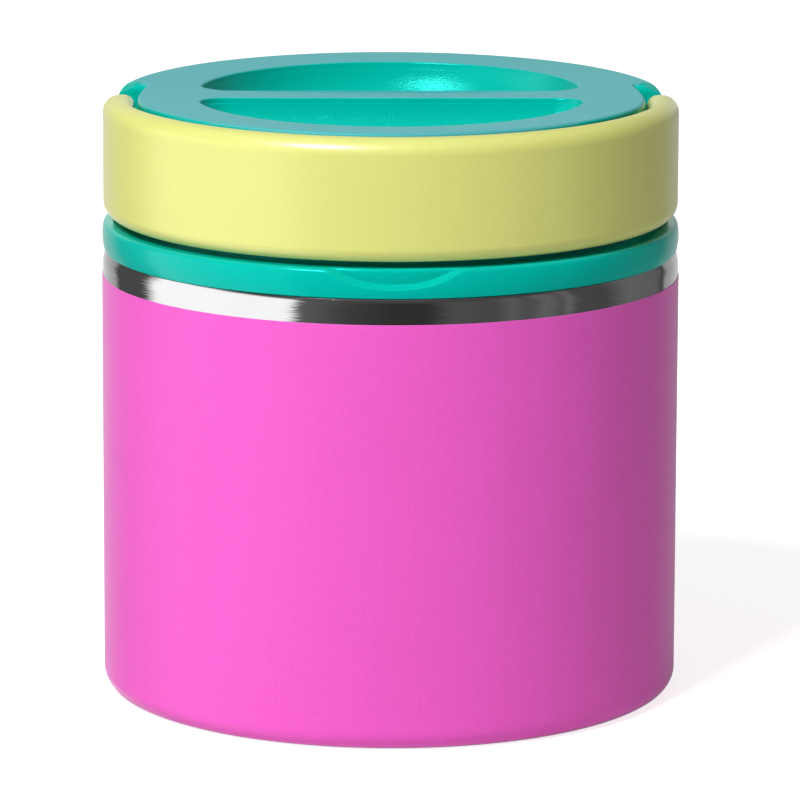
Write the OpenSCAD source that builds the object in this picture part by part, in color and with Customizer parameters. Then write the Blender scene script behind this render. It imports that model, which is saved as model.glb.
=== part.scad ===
// Insulated food jar: a double-wall steel body, a screw-on lid with two finger pockets and a grip bar
// between them, and a half-ring carry handle that swings up on two stub pins.
// The jar's axis is Z, it stands on z = 0, and the folded handle lies round the -Y side.
// Round profiles are drawn in the X-Z half-plane, X being the radius, and turned about Z.

/* [Jar body] */
// Diameter of the jar over its colour coat
body_d = 104; // [98:1:112]
// Height of the coat's top edge above the table
coat_h = 76; // [66:1:86]
// Thickness of the powder coat
coat_t = 0.12; // [0.08:0.02:0.2]
// Straight height of bare steel above the coat, below the shoulder's rounding
band_h = 1.8; // [1.2:0.1:4]
// Rounding of the steel shoulder
shoulder_r = 6; // [4.5:0.5:7]
// Rounding of the steel shell's bottom edge
base_r = 3.5; // [2:0.25:5]
// Steel thickness of both walls
wall_t = 0.5; // [0.4:0.05:0.7]
// Vacuum gap between the two side walls
vacuum_gap = 2.6; // [2:0.1:3.5]
// Vacuum gap between the two bottoms
floor_gap = 5.5; // [5.2:0.1:9]
// Rounding of the food cup's bottom edge
cup_r = 9; // [5:0.5:14]

/* [Base] */
// Width of the ring that the jar stands on
foot_w = 1.9; // [1.2:0.1:3]
// Depth of the recess under the base
recess_h = 2.5; // [1.8:0.1:3.5]
// Width of the turned-in lip that carries the bottom plates
lip_w = 4; // [3:0.5:8]
// Thickness of the bottom plates
plate_t = 0.5; // [0.4:0.05:0.6]
// Diameter of the evacuation dimple in the shell's bottom
dimple_d = 10; // [8:0.5:14]
// Depth of the evacuation dimple
dimple_h = 2; // [1.6:0.1:2.4]
// Diameter of the evacuation port
port_d = 1.6; // [1:0.1:2.4]
// Diameter of the glass bead that seals the port
bead_d = 4.4; // [3.6:0.2:6]
// Thickness of the glass bead
bead_t = 1.1; // [0.8:0.1:1.2]

/* [Vacuum fittings] */
// Diameter of the getter pill
getter_d = 8; // [6:0.5:10]
// Thickness of the getter pill
getter_t = 1.5; // [1:0.1:2]
// Distance of the getter from the jar's axis
getter_x = 16; // [14:1:26]
// Sheet thickness of the getter's holder
holder_t = 0.4; // [0.3:0.05:0.6]
// Thickness of the radiation foil round the food cup
foil_t = 0.1; // [0.08:0.02:0.2]
// Height of the foil's lower edge above the cup's bottom
foil_low = 10; // [6:1:20]
// Width of the foil band
foil_h = 58; // [30:1:60]

/* [Neck and thread] */
// Outside diameter of the neck
neck_d = 78; // [74:0.5:80]
// Height of the rim above the shoulder
neck_h = 8; // [7.5:0.25:9]
// Gap between the two walls inside the neck
neck_gap = 0.6; // [0.4:0.1:1]
// Height of a thread ridge above the neck or out of the lid's inner wall
thread_depth = 1.1; // [0.8:0.1:1.3]
// Rise of the thread in one turn
thread_lead = 8; // [7:0.5:9]
// Number of thread starts
thread_starts = 2; // [1:1:3]
// Width of a thread ridge at its root
thread_root = 2.2; // [1.8:0.1:2.4]
// Width of a thread ridge at its crest
thread_crest = 1; // [0.8:0.1:1.2]
// Part of a turn that each thread ridge goes round, in degrees
thread_sweep = 150; // [110:5:170]

/* [Gasket] */
// Thickness of the gasket between rim and lid
gasket_t = 1.8; // [1.4:0.1:2.4]
// How far the gasket reaches outside and inside the steel rim
gasket_over = 0.8; // [0.6:0.1:0.9]

/* [Lid] */
// Wall of the threaded liner
liner_t = 1.5; // [1.3:0.1:1.8]
// Thickness of the liner's ceiling
ceiling_t = 1.6; // [1.2:0.1:2.4]
// Thickness of the liner's flange
flange_t = 1; // [0.8:0.1:1.6]
// Height of the gasket's keeper ring inside the liner
keeper_h = 2.6; // [2:0.1:3.4]
// Thickness of the foam disc between liner and pockets
foam_t = 1.7; // [1.5:0.1:4]
// Thickness of the lid's top, pocket floors and pocket walls
top_t = 1.8; // [1.5:0.1:2.2]
// Thickness of the lid's ledge under the handle
ledge_t = 1.8; // [1.6:0.1:2.2]
// Thickness of the lid's skirt
skirt_t = 2.6; // [2.2:0.1:3]
// Thickness of the lid's drum wall
drum_t = 2; // [1.6:0.1:2.4]
// How far the skirt's widest line lies inside the coat
skirt_inset = 0.08; // [0:0.02:0.4]
// Crown radius of the skirt's outer face
crown_r = 10; // [8:0.5:16]
// Depth of the skirt's widest line below the shoulder's top
crown_drop = 0.6; // [0:0.1:1.2]
// Edge rounding of the ledge
ledge_r = 0.6; // [0.4:0.1:1]
// How far the rear wall of the lid stands inside the coat
rear_inset = 2.7; // [2.2:0.1:3.4]
// Edge rounding of the lid's rear rim
rear_r = 1.4; // [0.6:0.1:2]
// Edge rounding of the lid's front rim
front_r = 0.5; // [0.3:0.1:0.8]
// Depth of the lid's hollow top below its rim
dish_h = 0.8; // [0.4:0.1:1.4]
// Depth of the finger pockets below the grip bar
pocket_h = 9.2; // [8:0.2:11]
// Radius of a pocket's curved wall
pocket_r = 34.8; // [31:0.2:35.4]
// How far a pocket's centre lies from the lid's axis
pocket_y = 2.9; // [2:0.1:3.4]
// Width of the grip bar between the pockets
bar_w = 8.5; // [7:0.5:12]
// Rounding of the pockets' corners
pocket_corner = 5.2; // [3:0.2:7]
// Width of the finger scoop in the front of the ledge
scoop_w = 23.5; // [18:0.5:26]
// Depth of the finger scoop
scoop_h = 3.1; // [2:0.1:3.2]
// Slope of the finger scoop, in degrees
scoop_slope = 40; // [36:1:50]

/* [Handle] */
// How far the handle stands inside the coat
handle_inset = 0.3; // [0.2:0.1:0.8]
// Thickness of the handle's band
handle_t = 3.1; // [2.8:0.1:3.2]
// Thickness of the handle's end lugs
lug_t = 5.3; // [5:0.1:5.6]
// How far the folded handle's top lies below the lid's rim
handle_drop = 0.35; // [0.2:0.05:0.8]
// Rounding of the handle's top outer edge
handle_top_r = 3; // [1.5:0.25:3]
// Rounding of the handle's bottom outer edge
handle_low_r = 2.4; // [1.5:0.1:2.8]
// Distance of the pivots in front of the lid's axis
pivot_y = 2.5; // [0:0.5:3]
// Diameter of the handle's stub pins
pin_d = 6; // [4:0.5:7]
// How far each stub pin stands out of its lug
pin_l = 3; // [2.4:0.1:3.2]
// Rounding behind each handle end, on the lid's rear wall
notch_r = 12; // [8:1:14]
// How far back that rounding runs
notch_run = 4; // [3:0.5:5]

/* [Clearances] */
// Gap between the lid's skirt and the steel shoulder
lid_gap = 0.3; // [0.3:0.05:0.5]
// Gap between the liner's flange and the steel shoulder
flange_gap = 0.4; // [0.3:0.1:0.8]
// Radial gap between the thread crests and the facing wall
thread_gap = 0.35; // [0.3:0.05:0.5]
// Gap under the folded handle
rest_gap = 0.2; // [0.1:0.05:0.4]
// Gap between each handle lug and the lid
lug_gap = 0.5; // [0.4:0.1:0.8]
// Gap that the swinging handle keeps from the lid's front rim
swing_gap = 0.2; // [0.2:0.05:0.4]
// Gap between the standing handle and the lid's rear wall
stand_gap = 0.3; // [0.3:0.1:0.6]
// Radial running clearance of the stub pins
pin_gap = 0.06; // [0.03:0.01:0.09]
// Small assembly gap between pieces that are fixed together
fit_gap = 0.2; // [0.1:0.05:0.3]

/* [Hidden] */
$fn = 128;
// Overshoot of cutting shapes
over = 1;
// Largest length, wider than the whole jar
wide = 2 * body_d;

// Jar body
coat_r = body_d / 2;
shell_r = coat_r - coat_t;
shoulder_start = coat_h + band_h;
shoulder_z = shoulder_start + shoulder_r;
shoulder_x = shell_r - shoulder_r;
base_x = shell_r - base_r;
neck_r = neck_d / 2;
rim_z = shoulder_z + neck_h;
recess_r = base_x - foot_w;
lip_r = recess_r - lip_w;
lip_z = recess_h + wall_t;
bottom_z = lip_z + plate_t;
cup_out = shell_r - wall_t - vacuum_gap;
cup_z = bottom_z + floor_gap;
cup_shoulder_z = shoulder_z - wall_t - vacuum_gap;
cup_neck_r = neck_r - wall_t - neck_gap;

// Lid, from the rim upwards
liner_in = neck_r + thread_depth + thread_gap;
liner_out = liner_in + liner_t;
flange_z = shoulder_z + flange_gap;
ceiling_z = rim_z + gasket_t;
foam_z = ceiling_z + ceiling_t;
tub_z = foam_z + foam_t;
pocket_z = tub_z + top_t;
bar_z = pocket_z + pocket_h;
top_z = bar_z + dish_h;
ledge_low = flange_z + flange_t;
ledge_z = ledge_low + ledge_t;
skirt_r = coat_r - skirt_inset;
crown_z = shoulder_z - crown_drop;
skirt_in = skirt_r - skirt_t;
rear_r_out = coat_r - rear_inset;

// Handle
handle_r = coat_r - handle_inset;
handle_in = handle_r - handle_t;
handle_low = ledge_z + rest_gap;
handle_top = top_z - handle_drop;
lug_r = (handle_top - handle_low) / 2;
pivot_z = handle_low + lug_r;
lug_x = handle_r - lug_t;
cheek_x = lug_x - lug_gap;
pin_tip = lug_x - pin_l;
pin_r = pin_d / 2;
notch_y = lug_r + stand_gap - pivot_y;

// The front rim stays inside the path of the handle's inner face, which comes closest beside the lugs
swing_in = sqrt(pow(handle_in, 2) - pow(cheek_x, 2)) - pivot_y;
swing_rim = sqrt(pow(swing_in, 2) - pow(top_z - pivot_z, 2)) - swing_gap + pivot_y;
front_r_out = sqrt(pow(cheek_x, 2) + pow(swing_rim, 2));

// The lid's ridges lie half a pitch under the neck's, and start where that line comes off the flange
thread_pitch = thread_lead / thread_starts;
thread_rise = thread_lead * thread_sweep / 360;
thread_low = shoulder_z + thread_root;
lid_thread_low = flange_z + thread_root / 2;
lid_thread_turn = 360 * (lid_thread_low - thread_low + thread_pitch / 2) / thread_lead;
dish_steps = 8;
wall_steps = 40;
corner_steps = 8;

// --- shapes that repeat ---

// A rectangle from radius r0 to r1 and height z0 to z1
module band(r0, r1, z0, z1) {
    translate([r0, z0]) square([r1 - r0, z1 - z0]);
}

// What an edge rounding of radius r takes off a corner at (x, z), whose body lies towards sx, sz
module edge_cut(x, z, sx, sz, r) {
    translate([x, z]) difference() {
        polygon([[-sx * over, -sz * over], [sx * r, -sz * over], [sx * r, sz * r], [-sx * over, sz * r]]);
        translate([sx * r, sz * r]) circle(r);
    }
}

// The filled outline of the steel shell, drawn inwards by inset
module shell_outline(inset, neck_top) {
    band(0, shell_r - inset, base_r, shoulder_start);
    band(0, base_x, inset, base_r + over);
    translate([base_x, base_r]) circle(base_r - inset);
    band(0, shoulder_x, shoulder_start - over, shoulder_z - inset);
    translate([shoulder_x, shoulder_start]) circle(shoulder_r - inset);
    band(0, neck_r - inset, shoulder_z - inset - over, neck_top);
}

// The filled outline of the food cup, drawn inwards by inset
module cup_outline(inset, neck_top) {
    cup_shoulder_r = shoulder_r - wall_t - vacuum_gap / 2;
    side_top = cup_shoulder_z - cup_shoulder_r;
    band(0, cup_out - inset, cup_z + cup_r, side_top);
    band(0, cup_out - cup_r, cup_z + inset, cup_z + cup_r + over);
    translate([cup_out - cup_r, cup_z + cup_r]) circle(cup_r - inset);
    band(0, cup_out - cup_shoulder_r, side_top - over, cup_shoulder_z - inset);
    translate([cup_out - cup_shoulder_r, side_top]) circle(cup_shoulder_r - inset);
    band(0, cup_neck_r - inset, cup_shoulder_z - inset - over, neck_top);
}

// Cross-section of one thread ridge: [radius, height] points, side = 1 outwards and -1 inwards
function ridge_section(root, side) = [
    [root - side * fit_gap, -thread_root / 2],
    [root + side * thread_depth, -thread_crest / 2],
    [root + side * thread_depth, thread_crest / 2],
    [root - side * fit_gap, thread_root / 2]
];

// One thread ridge that starts at height z0 and azimuth a0
module ridge(root, side, z0, a0) {
    section = ridge_section(root, side);
    sides = len(section);
    rings = ceil(thread_sweep / 6);
    points = [for (i = [0 : rings], p = section)
        let (turn = a0 + thread_sweep * i / rings)
        [p[0] * cos(turn), p[0] * sin(turn), z0 + thread_rise * i / rings + p[1]]];
    skin = [for (i = [0 : rings - 1], j = [0 : sides - 1])
        let (a = i * sides + j, b = i * sides + (j + 1) % sides)
        [a, b, b + sides, a + sides]];
    start = [for (j = [sides - 1 : -1 : 0]) j];
    end = [for (j = [0 : sides - 1]) rings * sides + j];
    outward = concat(skin, [start, end]);
    // An inward ridge is a mirror image, so its loops are turned round
    inward = [for (loop = outward) [for (k = [len(loop) - 1 : -1 : 0]) loop[k]]];
    polyhedron(points = points, faces = side > 0 ? outward : inward, convexity = 4);
}

// All thread starts, the first at azimuth a0
module thread(root, side, z0, a0) {
    for (k = [0 : thread_starts - 1]) ridge(root, side, z0, a0 + 360 * k / thread_starts);
}

// Points on an arc round centre, from angle a0 to a1
function arc(centre, r, a0, a1, steps) = [for (i = [0 : steps])
    let (a = a0 + (a1 - a0) * i / steps) centre + r * [cos(a), sin(a)]];

// Plan of the rear finger pocket, grown by grow on all sides: a straight side, two corners, a curved wall
module pocket_plan(grow) {
    corner_y = bar_w / 2 + pocket_corner;
    corner_x = sqrt(pow(pocket_r - pocket_corner, 2) - pow(corner_y - pocket_y, 2));
    // Angle at which a corner's arc meets the curved wall
    meet = atan2(corner_y - pocket_y, corner_x);
    wall = arc([0, pocket_y], pocket_r + grow, meet, 180 - meet, wall_steps);
    polygon(concat(arc([corner_x, corner_y], pocket_corner + grow, -90, meet, corner_steps),
                   [for (i = [1 : wall_steps - 1]) wall[i]],
                   arc([-corner_x, corner_y], pocket_corner + grow, 180 - meet, 270, corner_steps)));
}

// Both finger pockets as solids from z0 to z1
module pockets(grow, z0, z1) {
    for (s = [0, 1]) mirror([0, s, 0]) translate([0, 0, z0]) linear_extrude(z1 - z0) pocket_plan(grow);
}

// A side view in Y and Z, drawn through the whole width of the jar
module across() {
    translate([-wide / 2, 0, 0]) rotate([90, 0, 90]) linear_extrude(wide) children();
}

// --- jar body ---

module outer_shell() {
    color([0.72, 0.72, 0.73]) union() {
        rotate_extrude() {
            difference() {
                shell_outline(0, rim_z - wall_t);
                shell_outline(wall_t, rim_z + over);
                band(0, recess_r, -over, lip_z);
            }
            band(recess_r - wall_t, recess_r, 0, lip_z);
            band(lip_r, recess_r, recess_h, lip_z);
        }
        thread(neck_r, 1, thread_low, 0);
    }
}

module powder_coat() {
    color([0.94, 0.3, 0.78]) rotate_extrude() difference() {
        union() {
            band(base_x, coat_r, base_r, coat_h);
            translate([base_x, base_r]) circle(base_r + coat_t);
        }
        band(0, shell_r, base_r, coat_h + over);
        translate([base_x, base_r]) circle(base_r);
        band(0, base_x, -over, wide);
        band(0, coat_r, -over, coat_t);
    }
}

module inner_cup() {
    color([0.78, 0.78, 0.78]) rotate_extrude() {
        difference() {
            cup_outline(0, rim_z);
            cup_outline(wall_t, rim_z + over);
        }
        // Rim flange over the end of the outer neck
        band(cup_neck_r - wall_t, neck_r, rim_z - wall_t, rim_z);
    }
}

module radiation_foil() {
    foil_in = cup_out + foil_t;
    color([0.8, 0.47, 0.3]) rotate_extrude()
        band(foil_in, foil_in + foil_t, cup_z + foil_low, cup_z + foil_low + foil_h);
}

module shell_bottom() {
    dimple_r = dimple_d / 2;
    dimple_z = lip_z + dimple_h;
    color([0.7, 0.7, 0.7]) rotate_extrude() {
        band(dimple_r - plate_t, recess_r - wall_t, lip_z, bottom_z);
        band(dimple_r - plate_t, dimple_r, lip_z, dimple_z);
        band(port_d / 2, dimple_r, dimple_z - plate_t, dimple_z);
    }
}

module seal_glass() {
    bead_top = lip_z + dimple_h - plate_t;
    color([0.3, 0.32, 0.3]) translate([0, 0, bead_top - bead_t]) cylinder(h = bead_t, d = bead_d);
}

module getter_holder() {
    holder_r = getter_d / 2 + fit_gap + holder_t;
    holder_low = cup_z - getter_t - fit_gap - holder_t;
    color([0.6, 0.6, 0.6]) translate([getter_x, 0, 0]) rotate_extrude() {
        band(holder_r - holder_t, holder_r, holder_low, cup_z);
        band(getter_d / 4, holder_r, holder_low, holder_low + holder_t);
    }
}

module getter_pill() {
    color([0.3, 0.3, 0.32]) translate([getter_x, 0, cup_z - getter_t - fit_gap])
        cylinder(h = getter_t, d = getter_d);
}

module base_cover() {
    color([0.75, 0.75, 0.76]) translate([0, 0, recess_h - plate_t])
        cylinder(h = plate_t, r = recess_r - wall_t - fit_gap);
}

// --- lid ---

module gasket() {
    color([0.86, 0.87, 0.86]) rotate_extrude()
        band(cup_neck_r - wall_t - gasket_over, neck_r + gasket_over, rim_z, ceiling_z);
}

module lid_liner() {
    keeper_r = cup_neck_r - wall_t - gasket_over - fit_gap;
    color([0.1, 0.62, 0.58]) union() {
        rotate_extrude() {
            band(liner_in, liner_out, flange_z, foam_z);
            band(liner_in, skirt_in - fit_gap, flange_z, ledge_low);
            band(0, liner_out, ceiling_z, foam_z);
            band(keeper_r - liner_t, keeper_r, ceiling_z - keeper_h, ceiling_z + ceiling_t / 2);
        }
        thread(liner_in, -1, lid_thread_low, lid_thread_turn);
    }
}

module insulation_puck() {
    slot_w = bar_w - 2 * top_t - 2 * fit_gap;
    rib_l = 2 * (pocket_r - pocket_corner);
    rib_top = bar_z - top_t - fit_gap;
    color([0.93, 0.9, 0.8]) union() {
        translate([0, 0, foam_z]) cylinder(h = foam_t, r = liner_out - fit_gap);
        translate([-rib_l / 2, -slot_w / 2, foam_z]) cube([rib_l, slot_w, rib_top - foam_z]);
    }
}

// The lid's drum: a round block with a dished top and a rounded rim
module drum(r_out, edge_r) {
    dish_r = front_r_out - front_r;
    dish = [for (i = [0 : dish_steps]) let (f = i / dish_steps) [dish_r * f, bar_z + dish_h * pow(f, 2)]];
    rotate_extrude() difference() {
        polygon(concat(dish, [[r_out, top_z], [r_out, ledge_low], [0, ledge_low]]));
        edge_cut(r_out, top_z, -1, -1, edge_r);
    }
}

// Side view of the room behind the handle's ends: what stands behind them is the lid's rear wall
module rear_side() {
    difference() {
        translate([notch_y, ledge_low]) square([wide, wide]);
        difference() {
            translate([notch_y - over, top_z - notch_r]) square([notch_run + over, notch_r + over]);
            translate([notch_y + notch_run, top_z - notch_r]) circle(notch_r);
        }
    }
    // Below the pivot the wall follows the round lug
    difference() {
        translate([-pivot_y, ledge_low]) square([notch_y + pivot_y + over, pivot_z - ledge_low]);
        translate([-pivot_y, pivot_z]) circle(lug_r + stand_gap);
    }
}

// Profile of the skirt and the ledge, whose lip follows the steel shoulder
module skirt_profile() {
    difference() {
        intersection() {
            band(front_r_out - drum_t, skirt_r, shoulder_start, ledge_z);
            translate([skirt_r - crown_r, crown_z]) circle(crown_r);
        }
        translate([shoulder_x, shoulder_start]) circle(shoulder_r + lid_gap);
        band(0, skirt_in, shoulder_start - over, ledge_low);
    }
}

module lid_shell() {
    inner_top = bar_z - top_t;
    scoop_r = (pow(scoop_w / 2, 2) + pow(scoop_h, 2)) / (2 * scoop_h);
    boss_in = pin_tip - fit_gap - top_t / 2;
    color([0.0, 0.72, 0.67]) difference() {
        union() {
            difference() {
                union() {
                    rotate_extrude() skirt_profile();
                    intersection() {
                        drum(front_r_out, front_r);
                        translate([-cheek_x, -wide / 2, 0]) cube([2 * cheek_x, wide, wide]);
                    }
                    intersection() {
                        drum(rear_r_out, rear_r);
                        across() rear_side();
                    }
                }
                // Hollow inside the drum, in front and, wider, behind
                intersection() {
                    translate([0, 0, ledge_low - over])
                        cylinder(h = inner_top - ledge_low + over, r = front_r_out - drum_t);
                    translate([drum_t - cheek_x, -wide / 2, 0]) cube([2 * (cheek_x - drum_t), wide, wide]);
                }
                intersection() {
                    translate([0, 0, ledge_z]) cylinder(h = inner_top - ledge_z, r = rear_r_out - drum_t);
                    translate([-wide / 2, notch_y + notch_run, 0]) cube([wide, wide, wide]);
                }
            }
            // Pocket tubs and pivot bosses
            pockets(top_t, tub_z, inner_top + top_t / 2);
            for (s = [0, 1]) mirror([s, 0, 0]) translate([boss_in, -pivot_y, pivot_z]) rotate([0, 90, 0])
                cylinder(h = cheek_x - drum_t / 2 - boss_in, r = pin_r + pin_gap + top_t);
        }
        pockets(0, pocket_z, top_z + over);
        // Sockets for the handle's stub pins
        for (s = [0, 1]) mirror([s, 0, 0]) translate([pin_tip - fit_gap, -pivot_y, pivot_z]) rotate([0, 90, 0])
            cylinder(h = lug_t, r = pin_r + pin_gap);
        // Finger scoop, which runs up inwards and ends in front of the drum
        intersection() {
            translate([0, -skirt_r, ledge_z - scoop_h + scoop_r]) rotate([90 + scoop_slope, 0, 0])
                translate([0, 0, -body_d / 4]) cylinder(h = body_d / 2, r = scoop_r * cos(scoop_slope));
            rotate_extrude() band(front_r_out + fit_gap, skirt_r + over, ledge_low - 2 * scoop_h, ledge_z + over);
        }
    }
}

// --- handle ---

module handle() {
    color([0.89, 0.91, 0.45]) union() {
        intersection() {
            difference() {
                rotate_extrude() difference() {
                    band(lug_x - handle_t, handle_r, handle_low, handle_top);
                    edge_cut(handle_r, handle_top, -1, -1, handle_top_r);
                    edge_cut(handle_r, handle_low, -1, 1, handle_low_r);
                }
                intersection() {
                    cylinder(h = wide, r = handle_in);
                    translate([-lug_x, -wide / 2, 0]) cube([2 * lug_x, wide, wide]);
                }
            }
            across() {
                translate([-wide, handle_low - over]) square([wide - pivot_y, 2 * lug_r + 2 * over]);
                translate([-pivot_y, pivot_z]) circle(lug_r);
            }
        }
        for (s = [0, 1]) mirror([s, 0, 0]) translate([pin_tip, -pivot_y, pivot_z]) rotate([0, 90, 0])
            cylinder(h = pin_l + lug_t / 2, r = pin_r);
    }
}

outer_shell();
powder_coat();
inner_cup();
radiation_foil();
shell_bottom();
seal_glass();
getter_holder();
getter_pill();
base_cover();
gasket();
lid_liner();
insulation_puck();
lid_shell();
handle();
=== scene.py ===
import math

import bmesh
import bpy
from mathutils import Matrix, Vector


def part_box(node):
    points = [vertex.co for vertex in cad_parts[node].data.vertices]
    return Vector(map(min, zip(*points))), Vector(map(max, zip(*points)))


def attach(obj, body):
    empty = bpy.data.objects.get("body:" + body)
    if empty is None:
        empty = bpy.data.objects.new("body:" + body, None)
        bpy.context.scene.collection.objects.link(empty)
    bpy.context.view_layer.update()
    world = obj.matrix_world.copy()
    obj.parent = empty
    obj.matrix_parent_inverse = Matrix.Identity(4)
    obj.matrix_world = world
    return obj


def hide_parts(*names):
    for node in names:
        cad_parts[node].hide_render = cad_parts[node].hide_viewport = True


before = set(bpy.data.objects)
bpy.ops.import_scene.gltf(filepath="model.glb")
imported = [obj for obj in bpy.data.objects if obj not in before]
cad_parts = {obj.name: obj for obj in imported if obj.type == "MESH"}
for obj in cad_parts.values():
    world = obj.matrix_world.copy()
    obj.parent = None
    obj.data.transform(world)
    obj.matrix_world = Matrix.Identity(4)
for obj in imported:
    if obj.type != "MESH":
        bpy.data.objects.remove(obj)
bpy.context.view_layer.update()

# ---------------------------------------------------------------------------------------------------
# Sizes, in metres. Those that a node's box gives are read from the frame.
# ---------------------------------------------------------------------------------------------------
MM = 0.001
MERGE = 0.0005 * MM      # doubles nearer than this are merged
SLIVER = 0.006 * MM      # what a boolean leaves is merged below this
NEAR = 0.01 * MM         # what counts as lying on a height or a radius
CUT_SNAP = 0.02 * MM     # a cut this near a vertex goes through it

# Jar body
COAT_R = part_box("powder_coat")[1].x
COAT_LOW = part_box("powder_coat")[0].z
COAT_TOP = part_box("powder_coat")[1].z
COAT_SINK = 0.02 * MM
SHELL_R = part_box("outer_shell")[1].x
WALL = 0.5 * MM
BASE_ROUND = 3.5 * MM
FOOT_W = 1.9 * MM
FOOT_EDGE = 0.3 * MM
SHOULDER_ROUND = 6 * MM
SHOULDER_START = COAT_TOP + 1.8 * MM
SHOULDER_Z = SHOULDER_START + SHOULDER_ROUND
SHOULDER_X = SHELL_R - SHOULDER_ROUND
NECK_R = 39 * MM
NECK_ROOT = 0.6 * MM
RECESS_R = SHELL_R - BASE_ROUND - FOOT_W
RECESS_H = 2.5 * MM
LIP_R = RECESS_R - 4 * MM
PLATE_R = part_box("base_cover")[1].x
CUP_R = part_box("inner_cup")[1].x
CUP_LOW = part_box("inner_cup")[0].z
CUP_ROUND = 9 * MM
CUP_NECK_R = NECK_R - WALL - 0.6 * MM
CUP_SHOULDER_Z = SHOULDER_Z - WALL - 2.6 * MM
CUP_SHOULDER_ROUND = 4.2 * MM
RIM_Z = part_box("inner_cup")[1].z

# Two-start thread
THREAD_DEPTH = 1.1 * MM
THREAD_LEAD = 8 * MM
THREAD_SWEEP = 150
THREAD_ROOT = 2.2 * MM
THREAD_CREST = 1 * MM
THREAD_EDGE = 0.12 * MM
THREAD_EDGE_SHARE = 0.8
THREAD_SINK = 0.15 * MM
THREAD_STEPS = 60
THREAD_RUN_OUTS = 8
THREAD_LOW = SHOULDER_Z + THREAD_ROOT
LID_THREAD_TURN = 58.5

# Lid, from the gasket upwards
GASKET_IN = 36.6 * MM
GASKET_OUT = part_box("gasket")[1].x
CEILING_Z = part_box("gasket")[1].z
FOAM_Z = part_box("insulation_puck")[0].z
FLANGE_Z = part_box("lid_liner")[0].z
FLANGE_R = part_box("lid_liner")[1].x
LINER_IN = NECK_R + THREAD_DEPTH + 0.35 * MM
LINER_WALL = 1.5 * MM
LINER_OUT = LINER_IN + LINER_WALL
LID_WALL = 1.8 * MM
LEDGE_LOW = FLANGE_Z + 1 * MM
TOP_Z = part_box("lid_shell")[1].z
DISH_H = 0.8 * MM
BAR_Z = TOP_Z - DISH_H
POCKET_Z = BAR_Z - 9.2 * MM
TUB_Z = POCKET_Z - LID_WALL
POCKET_R = 34.8 * MM
POCKET_Y = 2.9 * MM
POCKET_CORNER = 5.2 * MM
POCKET_DRAFT = 9
POCKET_BOWL = 12.5 * MM
POCKET_RIM = 0.45 * MM
BAR_W = 8.5 * MM
SKIRT_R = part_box("lid_shell")[1].x
SKIRT_IN = SKIRT_R - 2.6 * MM
CROWN_R = 10 * MM
CROWN_Z = SHOULDER_Z - 0.6 * MM
LEDGE_ROUND = 0.9 * MM
LEDGE_FALL = 1.35 * MM
LEDGE_TOP = LEDGE_LOW + LID_WALL - LEDGE_FALL
LID_GAP = 0.3 * MM
LIP_ROUND = 0.18 * MM
DRUM_R = 47.01 * MM
DRUM_WALL = 2 * MM
FRONT_ROUND = 0.7 * MM
REAR_R = SKIRT_R - 1.97 * MM
REAR_ROUND = 2.2 * MM
REAR_FRONT_ROUND = 1.6 * MM

# Handle
HANDLE_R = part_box("handle")[1].x
HANDLE_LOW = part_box("handle")[0].z
HANDLE_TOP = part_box("handle")[1].z
HANDLE_T = 3.1 * MM
LUG_X = HANDLE_R - 5.75 * MM
CHEEK_X = LUG_X - 0.4 * MM
PIN_TIP = LUG_X - 3 * MM
PIN_R = 3 * MM
PIN_GAP = 0.06 * MM
BOSS_WALL = 1.8 * MM
PIVOT_Y = -2.5 * MM
PIVOT_Z = (HANDLE_LOW + HANDLE_TOP) / 2
LUG_R = (HANDLE_TOP - HANDLE_LOW) / 2
HANDLE_DROP = 0.5 * MM
HANDLE_GAP = 0.3 * MM
NOTCH_Y = PIVOT_Y + LUG_R + HANDLE_DROP + HANDLE_GAP
NOTCH_ROUND = 18 * MM
# The matte top ends beside each notch on a slanted line, from this point along this direction
NOTCH_CORNER = Vector((44.2 * MM, 8.5 * MM, 0))
NOTCH_LINE = Vector((0.53, 0.85, 0)).normalized()
NOTCH_FALL = Vector((NOTCH_LINE.y, -NOTCH_LINE.x, 0))
NOTCH_DEPTH = 0.15 * MM

# Finger scoop in the front of the ledge
SCOOP_H = 3.65 * MM
SCOOP_HALF = 12.4 * MM
SCOOP_R = SKIRT_IN + 1.0 * MM
SCOOP_SOFT = 1.0 * MM
SCOOP_TOP = 0.7 * MM
SCOOP_POWER = 2.4
SCOOP_KEEP = 0.96        # how much of the way to SCOOP_R a point may go
SCOOP_ZONE_Y = -0.7 * SKIRT_R
SCOOP_ZONE_Z = CROWN_Z - 2.6 * MM


# ---------------------------------------------------------------------------------------------------
# Modelling helpers
# ---------------------------------------------------------------------------------------------------
def clamp(value):
    return max(0.0, min(1.0, value))


def ease(share):
    """Turns an even ramp from 0 to 1 into one with soft ends."""
    return share * share * (3 - 2 * share)


def arc(cx, cz, r, start, end, steps):
    """Points on an arc round (cx, cz), angles in degrees."""
    turns = [math.radians(start + (end - start) * i / steps) for i in range(steps + 1)]
    return [(cx + r * math.cos(t), cz + r * math.sin(t)) for t in turns]


def select_only(piece):
    bpy.ops.object.select_all(action="DESELECT")
    piece.select_set(True)
    bpy.context.view_layer.objects.active = piece


def draw_line(name, points):
    """Extrudes one vertex along the points and leaves the new piece in edit mode."""
    bpy.ops.object.select_all(action="DESELECT")
    bpy.ops.mesh.primitive_plane_add(size=MM)
    piece = bpy.context.object
    piece.name = piece.data.name = name
    bpy.ops.object.mode_set(mode="EDIT")
    bpy.ops.mesh.select_mode(type="VERT")
    bpy.ops.mesh.select_all(action="SELECT")
    bpy.ops.mesh.merge(type="CENTER")
    bpy.ops.transform.translate(value=points[0])
    for a, b in zip(points, points[1:]):
        step = [b[i] - a[i] for i in range(3)]
        bpy.ops.mesh.extrude_region_move(TRANSFORM_OT_translate={"value": step})
    return piece


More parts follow.
